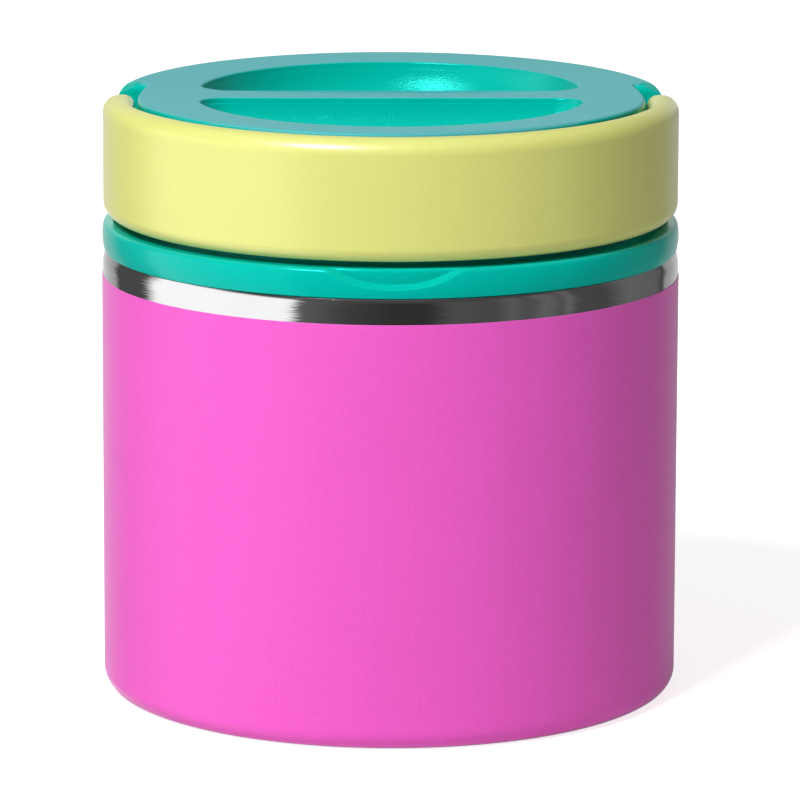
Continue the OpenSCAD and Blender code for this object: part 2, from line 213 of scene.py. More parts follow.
def close_up():
    """Merges doubles, turns the faces outwards and leaves edit mode."""
    bpy.ops.mesh.select_mode(type="VERT")
    bpy.ops.mesh.select_all(action="SELECT")
    bpy.ops.mesh.remove_doubles(threshold=MERGE)
    bpy.ops.mesh.delete_loose()
    bpy.ops.mesh.select_all(action="SELECT")
    bpy.ops.mesh.normals_make_consistent(inside=False)
    bpy.ops.object.mode_set(mode="OBJECT")


def edit(piece):
    select_only(piece)
    bpy.ops.object.mode_set(mode="EDIT")


def pick(piece, kind, wanted):
    """Selects the vertices, edges or faces, as kind says, for which wanted is true, in edit mode."""
    bpy.ops.mesh.select_mode(type=kind)
    bpy.ops.mesh.select_all(action="DESELECT")
    mesh = bmesh.from_edit_mesh(piece.data)
    found = {"VERT": mesh.verts, "EDGE": mesh.edges, "FACE": mesh.faces}[kind]
    for element in found:
        element.select_set(bool(wanted(element)))
    mesh.select_flush_mode()
    bmesh.update_edit_mesh(piece.data)


def radius(co):
    return math.hypot(co.x, co.y)


def smooth(piece, angle=32):
    """Smooth shading with sharp edges over angle, steadied by the larger faces."""
    select_only(piece)
    bpy.ops.object.shade_smooth_by_angle(angle=math.radians(angle))
    steady = piece.modifiers.new("steady", "WEIGHTED_NORMAL")
    steady.keep_sharp = True
    bpy.ops.object.modifier_apply(modifier=steady.name)


def lathe(name, profile, steps=256):
    """Spins a closed profile of (radius, height) points about the jar's axis."""
    piece = draw_line(name, [(x, 0, z) for x, z in profile + profile[:1]])
    bpy.ops.mesh.select_all(action="SELECT")
    bpy.ops.mesh.spin(steps=steps, angle=math.tau, center=(0, 0, 0), axis=(0, 0, 1))
    close_up()
    return piece


def prism(name, outline, step):
    """Fills a closed outline of (x, y, z) points and extrudes it by step."""
    piece = draw_line(name, outline + outline[:1])
    bpy.ops.mesh.select_all(action="SELECT")
    bpy.ops.mesh.remove_doubles(threshold=MERGE)
    bpy.ops.mesh.edge_face_add()
    bpy.ops.mesh.extrude_region_move(TRANSFORM_OT_translate={"value": step})
    close_up()
    return piece


def flat(outline, z):
    return [(x, y, z) for x, y in outline]


def combine(piece, other, operation):
    """Joins other to the piece, or cuts it out, and removes it."""
    select_only(piece)
    step = piece.modifiers.new("combine", "BOOLEAN")
    step.operation = operation
    step.solver = "EXACT"
    step.object = other
    bpy.ops.object.modifier_apply(modifier=step.name)
    bpy.data.objects.remove(other)


def join(piece, other):
    """Makes other part of the piece as it stands."""
    select_only(piece)
    other.select_set(True)
    bpy.ops.object.join()


def pin(name, r, x0, x1, sides=64):
    """A round bar along X at the handle's pivot."""
    bpy.ops.object.select_all(action="DESELECT")
    bpy.ops.mesh.primitive_cylinder_add(vertices=sides, radius=r, depth=abs(x1 - x0),
                                        location=((x0 + x1) / 2, PIVOT_Y, PIVOT_Z),
                                        rotation=(0, math.pi / 2, 0))
    bar = bpy.context.object
    bar.name = bar.data.name = name
    bpy.ops.object.transform_apply(location=True, rotation=True, scale=True)
    return bar


# ---------------------------------------------------------------------------------------------------
# Jar body
# ---------------------------------------------------------------------------------------------------
def make_coat():
    """The coat's skin, with a rounded top edge; its inner face sinks a hair into the steel."""
    base_x = SHELL_R - BASE_ROUND
    coat_t = COAT_R - SHELL_R
    edge = coat_t / 2
    start = -math.degrees(math.asin((BASE_ROUND - COAT_LOW) / (BASE_ROUND + coat_t)))
    outside = arc(base_x, BASE_ROUND, BASE_ROUND + coat_t, start, 0, 20)
    top = arc(COAT_R - edge, COAT_TOP - edge, edge, 0, 90, 4)
    inside = [(SHELL_R - COAT_SINK, COAT_TOP), (SHELL_R - COAT_SINK, BASE_ROUND)]
    under = arc(base_x, BASE_ROUND, BASE_ROUND - COAT_SINK, 0, start, 20)
    return lathe("powder_coat_skin", outside + top + inside + under[1:])


def make_steel_wall():
    """The outer wall: foot ring, side, shoulder, neck with its thread, and the lip round the recess."""
    base_x = SHELL_R - BASE_ROUND
    foot = [(RECESS_R, FOOT_EDGE), (RECESS_R + FOOT_EDGE, 0)]
    outside = arc(base_x, BASE_ROUND, BASE_ROUND, -90, 0, 16)
    shoulder = arc(SHOULDER_X, SHOULDER_START, SHOULDER_ROUND, 0, 90, 24)
    root = arc(NECK_R + NECK_ROOT, SHOULDER_Z + NECK_ROOT, NECK_ROOT, 270, 180, 5)
    neck = [(NECK_R, RIM_Z - WALL), (NECK_R - WALL, RIM_Z - WALL), (NECK_R - WALL, SHOULDER_Z - WALL)]
    inner_shoulder = arc(SHOULDER_X, SHOULDER_START, SHOULDER_ROUND - WALL, 90, 0, 16)
    inner_base = arc(base_x, BASE_ROUND, BASE_ROUND - WALL, 0, -90, 10)
    recess_top = RECESS_H + WALL
    lip = [(RECESS_R + WALL, WALL), (RECESS_R + WALL, recess_top), (LIP_R, recess_top), (LIP_R, RECESS_H)]
    inner = neck + inner_shoulder + inner_base + lip + [(RECESS_R, RECESS_H)]
    wall = lathe("steel_wall", foot + outside + shoulder + root + inner)
    for azimuth in (0, 180):
        join(wall, thread_ridge("neck_ridge", NECK_R, 1, THREAD_LOW, azimuth))
    return wall


def thread_ridge(name, root_r, side, low, azimuth):
    """One thread ridge, swept from a thin start to a thin end; side is 1 outwards and -1 inwards."""
    turn = math.radians(THREAD_SWEEP / THREAD_STEPS)
    rise = THREAD_LEAD * THREAD_SWEEP / 360 / THREAD_STEPS
    root = root_r - side * THREAD_SINK
    edge = root_r + side * THREAD_DEPTH * THREAD_EDGE_SHARE
    crest = root_r + side * THREAD_DEPTH
    section = [(root, -THREAD_ROOT / 2), (edge, -THREAD_CREST / 2 - THREAD_EDGE),
               (crest, -THREAD_CREST / 2 + THREAD_EDGE), (crest, THREAD_CREST / 2 - THREAD_EDGE),
               (edge, THREAD_CREST / 2 + THREAD_EDGE), (root, THREAD_ROOT / 2)]
    ridge = draw_line(name, [(x, 0, low + z) for x, z in section + section[:1]])
    bpy.ops.mesh.select_all(action="SELECT")
    bpy.ops.mesh.remove_doubles(threshold=MERGE)
    bpy.ops.mesh.edge_face_add()
    for _ in range(THREAD_STEPS):
        bpy.ops.mesh.extrude_region_move(TRANSFORM_OT_translate={"value": (0, 0, rise)})
        bpy.ops.transform.rotate(value=-turn, orient_axis="Z", center_override=(0, 0, 0))
    close_up()
    # The ends run out into the wall
    run_out = math.radians(THREAD_SWEEP) / THREAD_RUN_OUTS
    for vertex in ridge.data.vertices:
        turned = math.atan2(vertex.co.y, vertex.co.x) % math.tau
        share = ease(clamp(min(turned, math.radians(THREAD_SWEEP) - turned) / run_out))
        r = radius(vertex.co)
        away = max(0.0, side * (r - root_r))
        new_r = r - side * away * (1 - share)
        vertex.co.x *= new_r / r
        vertex.co.y *= new_r / r
    ridge.data.transform(Matrix.Rotation(math.radians(azimuth), 4, "Z"))
    return ridge


def make_food_cup():
    """The cup: round bottom, shoulder and neck, with a rolled rim over the shell's neck."""
    lip_out = 0.2 * MM
    lip_in = 0.4 * MM
    side_top = CUP_SHOULDER_Z - CUP_SHOULDER_ROUND
    outside = [(0, CUP_LOW)] + arc(CUP_R - CUP_ROUND, CUP_LOW + CUP_ROUND, CUP_ROUND, -90, 0, 16)
    shoulder = arc(CUP_R - CUP_SHOULDER_ROUND, side_top, CUP_SHOULDER_ROUND, 0, 90, 12)
    neck = [(CUP_NECK_R, CUP_SHOULDER_Z), (CUP_NECK_R, RIM_Z - WALL), (NECK_R - lip_out / 2, RIM_Z - WALL)]
    rim = arc(NECK_R - lip_out, RIM_Z - lip_out, lip_out, 0, 90, 4)
    rim += arc(CUP_NECK_R - WALL + lip_in, RIM_Z - lip_in, lip_in, 90, 180, 5)
    inner_neck = [(CUP_NECK_R - WALL, CUP_SHOULDER_Z - WALL)]
    inner_shoulder = arc(CUP_R - CUP_SHOULDER_ROUND, side_top, CUP_SHOULDER_ROUND - WALL, 90, 0, 12)
    bottom = arc(CUP_R - CUP_ROUND, CUP_LOW + CUP_ROUND, CUP_ROUND - WALL, 0, -90, 16) + [(0, CUP_LOW + WALL)]
    inner = inner_neck + inner_shoulder + bottom
    return lathe("food_cup", outside + shoulder + neck + rim + inner, steps=180)


def make_base_plate():
    """The round plate glued under the jar, with a raised ring and a shallow middle."""
    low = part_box("base_cover")[0].z
    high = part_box("base_cover")[1].z
    step = 0.18 * MM
    edge = 0.2 * MM
    middle_in = 16 * MM
    middle_out = 17 * MM
    groove = (38 * MM, 38.6 * MM, 41.4 * MM, 42 * MM)
    under = [(0, low + step), (middle_in, low + step), (middle_out, low), (groove[0], low),
             (groove[1], low + step), (groove[2], low + step), (groove[3], low),
             (PLATE_R - edge, low), (PLATE_R, low + edge)]
    return lathe("base_plate", under + [(PLATE_R, high), (0, high)], steps=180)


# ---------------------------------------------------------------------------------------------------
# Lid
# ---------------------------------------------------------------------------------------------------
def make_gasket():
    """The soft ring between rim and lid, round at its four edges."""
    edge = 0.45 * MM
    outer = GASKET_OUT - edge
    inner = GASKET_IN + edge
    low = RIM_Z + edge
    high = CEILING_Z - edge
    profile = []
    for cx, cz, start in ((outer, low, -90), (outer, high, 0), (inner, high, 90), (inner, low, 180)):
        profile += arc(cx, cz, edge, start, start + 90, 6)
    return lathe("gasket_ring", profile, steps=180)


def make_liner():
    """The inner cap: a flange at its foot, threads inside and a short ring that keeps the gasket in place."""
    keeper_out = GASKET_IN - 0.2 * MM
    keeper_in = keeper_out - LINER_WALL
    keeper_low = CEILING_Z - 2.6 * MM
    edge = 0.3 * MM
    fillet = 0.5 * MM
    crown_round = 0.8 * MM
    flange = [(LINER_IN, FLANGE_Z), (FLANGE_R - edge, FLANGE_Z), (FLANGE_R, FLANGE_Z + edge),
              (FLANGE_R, LEDGE_LOW), (LINER_OUT + fillet, LEDGE_LOW), (LINER_OUT, LEDGE_LOW + fillet)]
    crown = arc(LINER_OUT - crown_round, FOAM_Z - crown_round, crown_round, 0, 90, 6)
    crown += [(0, FOAM_Z), (0, CEILING_Z)]
    keeper = [(keeper_in, CEILING_Z), (keeper_in, keeper_low + edge), (keeper_in + edge, keeper_low),
              (keeper_out - edge, keeper_low), (keeper_out, keeper_low + edge), (keeper_out, CEILING_Z)]
    liner = lathe("threaded_liner", flange + crown + keeper + [(LINER_IN, CEILING_Z)], steps=180)
    for azimuth in (LID_THREAD_TURN, LID_THREAD_TURN + 180):
        join(liner, thread_ridge("liner_ridge", LINER_IN, -1, FLANGE_Z + THREAD_ROOT / 2, azimuth))
    return liner


def press_scoop(skirt):
    """Presses the finger scoop into the front: a soft lip, and a groove that gets shallower upwards."""
    for vertex in skirt.data.vertices:
        co = vertex.co
        r = radius(co)
        if co.y > SCOOP_ZONE_Y or r < SCOOP_R or co.z < SCOOP_ZONE_Z:
            continue
        share = min(abs(co.x) / SCOOP_HALF, 1.0)
        floor = LEDGE_TOP - SCOOP_H * (1 - share ** SCOOP_POWER)
        into = ease(clamp((co.z - floor) / SCOOP_SOFT))
        up = clamp((co.z - floor) / (LEDGE_TOP - floor + SCOOP_SOFT))
        deep = (r - SCOOP_R) * SCOOP_KEEP
        scale = 1 - into * (deep + (min(deep, SCOOP_TOP) - deep) * up) / r
        co.x *= scale
        co.y *= scale


def make_skirt():
    """The lid's full-width ring: a bulging side, a thin lip over the shoulder, and the handle's ledge."""
    crown_x = SKIRT_R - CROWN_R
    lip_r = SHOULDER_ROUND + LID_GAP
    # The lip's tip is where the crown meets the gap over the shoulder
    across = Vector((crown_x - SHOULDER_X, CROWN_Z - SHOULDER_START))
    gap = across.length
    along = (lip_r ** 2 - CROWN_R ** 2 + gap ** 2) / (2 * gap)
    side = math.sqrt(lip_r ** 2 - along ** 2)
    unit = across / gap
    tip = Vector((SHOULDER_X, SHOULDER_START)) + unit * along + Vector((unit.y, -unit.x)) * side
    tip_turn = math.degrees(math.atan2(tip.y - CROWN_Z, tip.x - crown_x))
    inner_turn = math.degrees(math.atan2(tip.y - SHOULDER_START, tip.x - SHOULDER_X))
    seat_r = DRUM_R + 1.2 * MM
    seat_rings = 10
    edge_z = LEDGE_TOP - LEDGE_ROUND
    edge_x = crown_x + math.sqrt((CROWN_R - LEDGE_ROUND) ** 2 - (edge_z - CROWN_Z) ** 2)
    edge_turn = math.degrees(math.atan2(edge_z - CROWN_Z, edge_x - crown_x))
    outside = arc(crown_x, CROWN_Z, CROWN_R, tip_turn, edge_turn, 80)
    rounding = arc(edge_x, edge_z, LEDGE_ROUND, edge_turn, 90, 8)
    wall_in = DRUM_R - DRUM_WALL - 0.4 * MM
    ledge = [(edge_x + (seat_r - edge_x) * i / seat_rings, LEDGE_TOP) for i in range(1, seat_rings + 1)]
    ledge += [(wall_in, LEDGE_TOP)]
    skirt_top = SHOULDER_START + math.sqrt(lip_r ** 2 - (SKIRT_IN - SHOULDER_X) ** 2)
    skirt_turn = math.degrees(math.atan2(skirt_top - SHOULDER_START, SKIRT_IN - SHOULDER_X))
    inside = [(wall_in, LEDGE_LOW), (SKIRT_IN, LEDGE_LOW)]
    lip = arc(SHOULDER_X, SHOULDER_START, lip_r, skirt_turn, inner_turn, 10)[:-1]
    skirt = lathe("lid", outside + rounding[1:] + ledge + inside + lip, steps=480)
    edit(skirt)
    pick(skirt, "EDGE", lambda edge: all((Vector((radius(v.co), v.co.z)) - tip).length < NEAR
                                         for v in edge.verts))
    bpy.ops.mesh.bevel(offset=LIP_ROUND, segments=3)
    bpy.ops.object.mode_set(mode="OBJECT")
    press_scoop(skirt)
    return skirt


def make_drum():
    """The raised part of the lid: a front block and a rear wall, with room for the handle's ends between."""
    # Front block, whose cheeks stand inside the handle's lugs
    drum_low = LEDGE_LOW + 0.2 * MM
    drum = prism("drum", flat(front_outline(), drum_low), (0, 0, TOP_Z - drum_low))
    edit(drum)
    pick(drum, "EDGE", lambda edge: all(v.co.z > TOP_Z - NEAR for v in edge.verts))
    bpy.ops.mesh.bevel(offset=FRONT_ROUND, segments=5)
    close_up()
    # Rear wall: a rounded disc, cut by the side view of the room behind the handle's ends
    low = LEDGE_TOP - 0.3 * MM
    rim = arc(REAR_R - REAR_ROUND, TOP_Z - REAR_ROUND, REAR_ROUND, 0, 90, 8)
    rear = lathe("rear_wall", [(0, low), (REAR_R, low)] + rim + [(0, TOP_Z)])
    cradle = arc(PIVOT_Y, PIVOT_Z, NOTCH_Y - PIVOT_Y, 0, -90, 20)
    brow = arc(NOTCH_Y + REAR_FRONT_ROUND, TOP_Z - REAR_FRONT_ROUND, REAR_FRONT_ROUND, 90, 180, 8)
    back = [(2 * REAR_R, low - MM), (2 * REAR_R, TOP_Z + MM), (NOTCH_Y + REAR_FRONT_ROUND, TOP_Z + MM)]
    outline = cradle + [(PIVOT_Y, low - MM)] + back + brow
    side = prism("side", [(-2 * REAR_R, y, z) for y, z in outline], (4 * REAR_R, 0, 0))
    combine(rear, side, "INTERSECT")
    for mirror in (1, -1):
        combine(rear, notch_rounding(mirror), "DIFFERENCE")
    combine(drum, rear, "UNION")
    return drum


def front_outline():
    """Plan of the front block: a round front that runs softly into cheeks, drawn in towards the notches."""
    steps = 40
    start_y = -24 * MM
    curve_y = -9 * MM
    draw_in = 1.5 * MM
    draw_power = 1.6
    blend = 2.4 * MM
    left = []
    for i in range(steps + 1):
        y = start_y + (NOTCH_Y - start_y) * i / steps
        share = max(0.0, (y - curve_y) / (NOTCH_Y - curve_y))
        cheek = CHEEK_X - draw_in * share ** draw_power
        front = math.sqrt(DRUM_R ** 2 - y ** 2)
        # Smooth minimum of the round front and the cheek
        mix = clamp(0.5 + 0.5 * (front - cheek) / blend)
        left.append((-(front + (cheek - front) * mix - blend * mix * (1 - mix)), y))
    corner = math.degrees(math.atan2(left[0][1], -left[0][0]))
    front = arc(0, 0, DRUM_R, corner, -180 - corner, 100)
    # Behind the cheek the block follows the slanted line, then hides in the rear wall
    past_corner = 3.4 * MM
    hidden = (-40 * MM, 16 * MM)
    beside = NOTCH_CORNER + NOTCH_LINE * past_corner - NOTCH_FALL * NOTCH_DEPTH
    left += [(-beside.x, beside.y), hidden]
    right = [(-x, y) for x, y in reversed(left)]
    return front[1:-1] + left + right


def notch_rounding(mirror):
    """What is cut off the rear wall's top beside a notch: a crease on a slanted line, and a large round."""
    half = 12 * MM
    steps = 16
    first = math.radians(20)
    last = math.radians(50)
    clear_z = TOP_Z + 2 * MM
    section = [(0, clear_z)]
    for i in range(steps + 1):
        turn = first + (last - first) * i / steps
        section.append((NOTCH_ROUND * (math.sin(turn) - math.sin(first)),
                        TOP_Z - NOTCH_ROUND * (math.cos(first) - math.cos(turn))))
    section.append((section[-1][0], clear_z))
    start = NOTCH_CORNER - NOTCH_LINE * half
    points = [start + NOTCH_FALL * fall for fall, _ in section]
    outline = [(point.x * mirror, point.y, z) for point, (_, z) in zip(points, section)]
    step = NOTCH_LINE * 2 * half
    return prism("notch", outline, (step.x * mirror, step.y, 0))


def pocket_outline(inset):
    """Plan of the rear finger pocket, moved in by inset: a straight side, two corners and a curved wall."""
    smallest = 0.4 * MM
    corner = max(POCKET_CORNER - inset, smallest)
    corner_y = BAR_W / 2 + inset + corner
    corner_x = math.sqrt((POCKET_R - inset - corner) ** 2 - (corner_y - POCKET_Y) ** 2)
    meet = math.degrees(math.atan2(corner_y - POCKET_Y, corner_x))
    right = arc(corner_x, corner_y, corner, -90, meet, 16)
    wall = arc(0, POCKET_Y, POCKET_R - inset, meet, 180 - meet, 96)
    left = arc(-corner_x, corner_y, corner, 180 - meet, 270, 16)
    return right + wall[1:-1] + left


def make_pocket(mirror):
    """The space of one pocket: a softly flared rim, and a wall that curves in towards a flat floor."""
    rim_steps = 6
    wall_steps = 18
    above_top = 0.5 * MM
    path = [(POCKET_RIM * (math.sin(a) - 1), POCKET_RIM * (1 - math.cos(a)))
            for a in (math.pi / 2 * i / rim_steps for i in range(rim_steps + 1))]
    depth = TOP_Z - POCKET_Z - POCKET_RIM
    steep = math.radians(POCKET_DRAFT)
    for i in range(1, wall_steps + 1):
        down = depth * i / wall_steps
        turn = math.asin(math.sin(steep) + down / POCKET_BOWL)
        path.append((POCKET_BOWL * (math.cos(steep) - math.cos(turn)), POCKET_RIM + down))
    levels = [(path[0][0], -above_top)] + path
    loops = [[(x, y * mirror) for x, y in pocket_outline(inset)][::mirror] for inset, _ in levels]
    heights = [TOP_Z - down for _, down in levels]
    pocket = prism("pocket", flat(loops[0], heights[0]), (0, 0, heights[1] - heights[0]))
    edit(pocket)
    for above, below in zip(heights[1:], heights[2:]):
        pick(pocket, "FACE", lambda face: abs(face.calc_center_median().z - above) < 0.1 * NEAR
             and abs(face.normal.z) > 0.9)
        bpy.ops.mesh.extrude_region_move(TRANSFORM_OT_translate={"value": (0, 0, below - above)})
    bpy.ops.object.mode_set(mode="OBJECT")
    # Each level's loop is drawn in to its own outline
    for vertex in pocket.data.vertices:
        x, y, z = vertex.co
        point = min(range(len(loops[0])), key=lambda i: math.dist(loops[0][i], (x, y)))
        level = min(range(len(heights)), key=lambda i: abs(heights[i] - z))
        vertex.co.x, vertex.co.y = loops[level][point]
    return pocket


def make_lid():
    """Skirt and drum in one, hollow under the top, with the finger pockets and the sockets for the handle."""
    room = 20 * MM
    lid = make_skirt()
    drum = make_drum()
    # Hollow under the top, round the pockets' tubs
    wall_r = DRUM_R - DRUM_WALL
    wall_x = CHEEK_X - DRUM_WALL
    cheek = math.degrees(math.acos(wall_x / wall_r))
    plan = arc(0, 0, wall_r, -cheek, -180 + cheek, 60) + arc(0, 0, wall_r, 180 - cheek, cheek, 60)
    inner_top = BAR_Z - LID_WALL
    hollow = prism("hollow", flat(plan, LEDGE_LOW - room), (0, 0, inner_top - LEDGE_LOW + room))
    for mirror in (1, -1):
        tub_plan = [(x, y * mirror) for x, y in pocket_outline(-LID_WALL)]
        combine(hollow, prism("tub", flat(tub_plan, TUB_Z), (0, 0, room)), "DIFFERENCE")
    combine(drum, hollow, "DIFFERENCE")
    for mirror in (1, -1):
        combine(drum, make_pocket(mirror), "DIFFERENCE")
    boss_in = PIN_TIP - 1.1 * MM
    boss_out = CHEEK_X - 1 * MM
    socket_in = PIN_TIP - 0.2 * MM
    socket_out = CHEEK_X + 1.2 * MM
    for side in (1, -1):
        combine(drum, pin("boss", PIN_R + BOSS_WALL, side * boss_in, side * boss_out), "UNION")
        combine(drum, pin("socket", PIN_R + PIN_GAP, side * socket_in, side * socket_out), "DIFFERENCE")
    dish_top(drum)
    combine(lid, drum, "UNION")
    return lid


def dish_top(drum):
    """Cuts the flat top into a grid and presses it into a shallow dish."""
    edit(drum)
    bpy.ops.mesh.select_mode(type="VERT")
    bpy.ops.mesh.select_all(action="SELECT")
    bpy.ops.mesh.remove_doubles(threshold=SLIVER)
    spacing = 3 * MM
    cuts = 15
    for axis in ((1, 0, 0), (0, 1, 0)):
        for i in range(-cuts, cuts + 1):
            pick(drum, "FACE", lambda face: face.normal.z > 0.999
                 and face.calc_center_median().z > TOP_Z - 2 * NEAR)
            bpy.ops.mesh.bisect(plane_co=[i * spacing * n for n in axis], plane_no=axis, threshold=CUT_SNAP)
    bpy.ops.object.mode_set(mode="OBJECT")
    edge = DRUM_R - FRONT_ROUND
    reach = 1.2 * MM
    for vertex in drum.data.vertices:
        r = radius(vertex.co)
        if r < edge and vertex.co.z > TOP_Z - reach:
            vertex.co.z -= DISH_H * (1 - (r / edge) ** 2)


def make_handle():
    """The half ring: a strip with round ends, rounded, bent round the lid and fitted to its cheeks."""
    middle_r = HANDLE_R - HANDLE_T / 2
    half_length = middle_r * math.acos(-PIVOT_Y / middle_r)
    ends = arc(half_length, PIVOT_Z, LUG_R, -90, 90, 32) + arc(-half_length, PIVOT_Z, LUG_R, 90, 270, 32)
    strip = prism("carry_handle_ring", [(x, -HANDLE_T / 2, z) for x, z in ends], (0, HANDLE_T, 0))
    round_strip_edges(strip)
    # The lower half hangs a little under the lugs' round
    for vertex in strip.data.vertices:
        if vertex.co.z < PIVOT_Z:
            vertex.co.z += HANDLE_DROP * (vertex.co.z - PIVOT_Z) / LUG_R
    edit(strip)
    count = 60
    cuts = [half_length * i / count for i in range(-count, count + 1)]
    cuts += [side * (half_length + share * LUG_R) for side in (-1, 1) for share in (0.2, 0.4, 0.6)]
    for x in cuts:
        bpy.ops.mesh.select_all(action="SELECT")
        bpy.ops.mesh.bisect(plane_co=(x, 0, 0), plane_no=(1, 0, 0), threshold=CUT_SNAP)
    bpy.ops.object.mode_set(mode="OBJECT")
    select_only(strip)
    bend = strip.modifiers.new("bend", "SIMPLE_DEFORM")
    bend.deform_method = "BEND"
    bend.deform_axis = "Z"
    bend.angle = 2 * (half_length + LUG_R) / middle_r
    bpy.ops.object.modifier_apply(modifier=bend.name)
    strip.data.transform(Matrix.Translation((0, -middle_r, 0)))
    # The lugs' inner faces stand flat beside the lid's cheeks
    edit(strip)
    inner_r = HANDLE_R - HANDLE_T + 0.05 * MM
    for side in (1, -1):
        pick(strip, "VERT", lambda vertex: vertex.co.x * side > LUG_X and radius(vertex.co) < inner_r)
        bpy.ops.transform.resize(value=(0, 1, 1), center_override=(side * LUG_X, 0, 0))
    bpy.ops.object.mode_set(mode="OBJECT")
    stub_out = LUG_X + 1.5 * MM
    stub_edge = 0.4 * MM
    for side in (1, -1):
        stub = pin("stub_pin", PIN_R, side * PIN_TIP, side * stub_out)
        edit(stub)
        pick(stub, "EDGE", lambda edge: all(abs(v.co.x) < PIN_TIP + NEAR for v in edge.verts))
        bpy.ops.mesh.bevel(offset=stub_edge, segments=3)
        bpy.ops.object.mode_set(mode="OBJECT")
        combine(strip, stub, "UNION")
    round_inner_edges(strip)
    return strip


def round_by_weight(piece, width, segments):
    """Bevels the edges by their weights, times width."""
    select_only(piece)
    rounding = piece.modifiers.new("rounding", "BEVEL")
    rounding.limit_method = "WEIGHT"
    rounding.width = width
    rounding.segments = segments
    rounding.use_clamp_overlap = False
    bpy.ops.object.modifier_apply(modifier=rounding.name)


def round_inner_edges(strip):
    """Rounds the sharp inner edge, widely round the lugs and less along the arms."""
    wide = 2.0 * MM
    narrow = 0.07 * MM
    start_y = -16 * MM
    reach = 8 * MM
    stub_r = PIN_R + 1 * MM
    sharp = math.radians(50)
    mesh = bmesh.new()
    mesh.from_mesh(strip.data)
    layers = mesh.edges.layers.float
    weight = layers.get("bevel_weight_edge") or layers.new("bevel_weight_edge")
    for edge in mesh.edges:
        edge[weight] = 0.0
        middle = (edge.verts[0].co + edge.verts[1].co) / 2
        stub = math.hypot(middle.y - PIVOT_Y, middle.z - PIVOT_Z) < stub_r
        if not stub and edge.is_manifold and edge.calc_face_angle() > sharp:
            share = clamp((middle.y - start_y) / reach)
            edge[weight] = (narrow + (wide - narrow) * share) / wide
    mesh.to_mesh(strip.data)
    mesh.free()
    round_by_weight(strip, wide, 6)


def round_strip_edges(strip):
    """Rounds the outer edge all round, more at the top than below, by bevel weights."""
    top_round = 3 * MM
    low_share = 0.8
    weights = strip.data.attributes.new("bevel_weight_edge", "FLOAT", "EDGE")
    points = [v.co for v in strip.data.vertices]
    for edge in strip.data.edges:
        a, b = [points[i] for i in edge.vertices]
        if a.y < 0 and b.y < 0:
            high = ((a.z + b.z) / 2 - HANDLE_LOW) / (HANDLE_TOP - HANDLE_LOW)
            weights.data[edge.index].value = low_share + (1 - low_share) * high
    round_by_weight(strip, top_round, 9)


# ---------------------------------------------------------------------------------------------------
# Finishes
# ---------------------------------------------------------------------------------------------------
def colour(red, green, blue):
    """An sRGB colour, 0 to 255, as the linear values that a socket takes."""
    def linear(value):
        value /= 255
        return value / 12.92 if value <= 0.04045 else ((value + 0.055) / 1.055) ** 2.4
    return linear(red), linear(green), linear(blue), 1.0


def new_group(name, inputs, outputs):
    """An empty node group with named value, colour and vector sockets."""
    group = bpy.data.node_groups.new(name, "ShaderNodeTree")
    for label, kind, default in inputs:
        socket = group.interface.new_socket(name=label, in_out="INPUT", socket_type=kind)
        socket.default_value = default
    for label, kind in outputs:
        group.interface.new_socket(name=label, in_out="OUTPUT", socket_type=kind)
    return group, group.nodes.new("NodeGroupInput"), group.nodes.new("NodeGroupOutput")


def add(tree, kind, links=(), **settings):
    """A node with its settings, and its inputs set to values or linked to sockets."""
    node = tree.nodes.new(kind)
    for key, value in settings.items():
        setattr(node, key, value)
    for key, value in dict(links).items():
        if isinstance(value, bpy.types.NodeSocket):
            tree.links.new(value, node.inputs[key])
        else:
            node.inputs[key].default_value = value
    return node


def calc(tree, operation, *values):
    """The result of a maths node."""
    return add(tree, "ShaderNodeMath", dict(enumerate(values)), operation=operation).outputs[0]


def vector_calc(tree, operation, *values):
    """The result of a vector maths node."""
    return add(tree, "ShaderNodeVectorMath", dict(enumerate(values)), operation=operation).outputs[0]


def spread(tree, value, low, high, start=0.0, end=1.0):
    """A value that runs from start to end, spread over low to high and held there outside."""
    return add(tree, "ShaderNodeMapRange", {"Value": value, "From Min": start, "From Max": end,
                                            "To Min": low, "To Max": high}).outputs[0]


def object_place(tree):
    return add(tree, "ShaderNodeTexCoord").outputs["Object"]


def object_axes(tree):
    """X, y and z on the object."""
    return add(tree, "ShaderNodeSeparateXYZ", {0: object_place(tree)}).outputs


def grain_group():
    """Fine even texture: a height for bumps, and a mask of its high spots."""
    group, inside, out = new_group(
        "fine grain", [("Size", "NodeSocketFloat", 0.3), ("Detail", "NodeSocketFloat", 2.0)],
        [("Height", "NodeSocketFloat"), ("Mask", "NodeSocketFloat")])
    scale = calc(group, "DIVIDE", 1 / MM, inside.outputs["Size"])
    noise = add(group, "ShaderNodeTexNoise", {"Vector": object_place(group), "Scale": scale,
                                              "Detail": inside.outputs["Detail"], "Roughness": 0.6})
    high = spread(group, noise.outputs[0], 0.0, 1.0, start=0.45, end=0.72)
    group.links.new(noise.outputs[0], out.inputs["Height"])
    group.links.new(high, out.inputs["Mask"])
    return group


def tone_group():
    """A colour whose brightness varies in patches of the given size, in millimetres."""
    group, inside, out = new_group(
        "slow tone", [("Color", "NodeSocketColor", (1, 1, 1, 1)), ("Size", "NodeSocketFloat", 30.0),
                      ("Amount", "NodeSocketFloat", 0.04)], [("Color", "NodeSocketColor")])
    scale = calc(group, "DIVIDE", 1 / MM, inside.outputs["Size"])
    noise = add(group, "ShaderNodeTexNoise", {"Vector": object_place(group), "Scale": scale, "Detail": 3.0})
    darkest = calc(group, "SUBTRACT", 1.0, inside.outputs["Amount"])
    lightest = calc(group, "ADD", 1.0, inside.outputs["Amount"])
    value = spread(group, noise.outputs[0], darkest, lightest, start=0.3, end=0.7)
    shade = add(group, "ShaderNodeHueSaturation", {"Value": value, "Color": inside.outputs["Color"]})
    group.links.new(shade.outputs[0], out.inputs["Color"])
    return group


